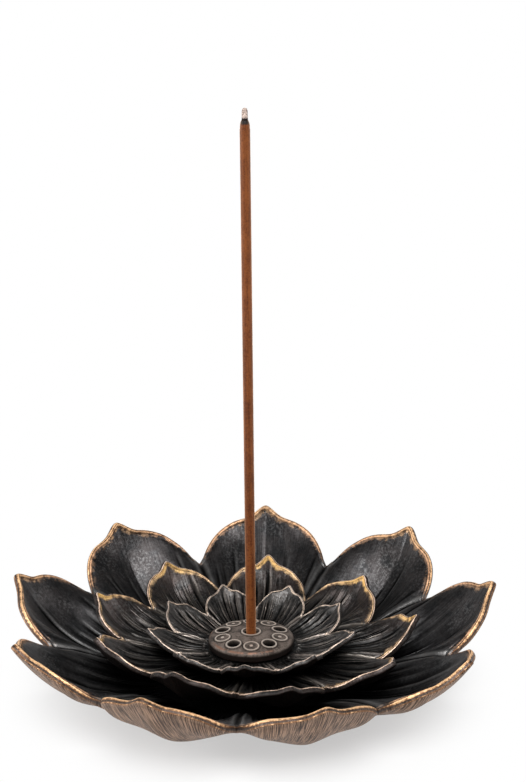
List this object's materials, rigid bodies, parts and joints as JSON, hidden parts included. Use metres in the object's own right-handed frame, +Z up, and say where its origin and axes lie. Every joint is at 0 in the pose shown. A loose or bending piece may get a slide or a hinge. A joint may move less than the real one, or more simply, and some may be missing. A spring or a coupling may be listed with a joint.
{
  "type": "incense stick holder",
  "caption": "Lotus-shaped incense stick holder: three cast petal tiers clamped under a seed pod, with a lift-out stick standing in the pod's centre bore.",
  "frame": {"origin": "on the flower's axis, in the plane of the table under the foot pad", "axes": "+Z up along the stick, +Y through the middle of one outer petal, at the back of the picture's view"},
  "size_m": [0.1084, 0.1068, 0.1304],
  "materials": {
    "patina_casting": "zinc alloy casting, black patina with rubbed copper rims",
    "pod_casting": "zinc alloy casting, brown bronze patina, satin",
    "zinc_plated_steel": "bright zinc plate",
    "black_rubber": "matte die-cut sheet",
    "incense_paste": "matte pressed wood powder",
    "burnt_paste": "charred",
    "pale_ash": "dusty ash"
  },
  "bodies": {
    "holder": {"outer_petal_tier": "patina_casting", "middle_petal_tier": "patina_casting", "inner_petal_tier": "patina_casting", "seed_pod": "pod_casting", "clamp_nut": "zinc_plated_steel", "spring_washer": "zinc_plated_steel", "foot_pad": "black_rubber"},
    "stick": {"incense_stick": "incense_paste", "charred_band": "burnt_paste", "ash_tip": "pale_ash"}
  },
  "joints": [
    {"name": "stick_lift", "type": "slide", "parent": "holder", "child": "stick", "axis": [0, 0, 1], "range_m": [0, 0.04]}
  ]
}
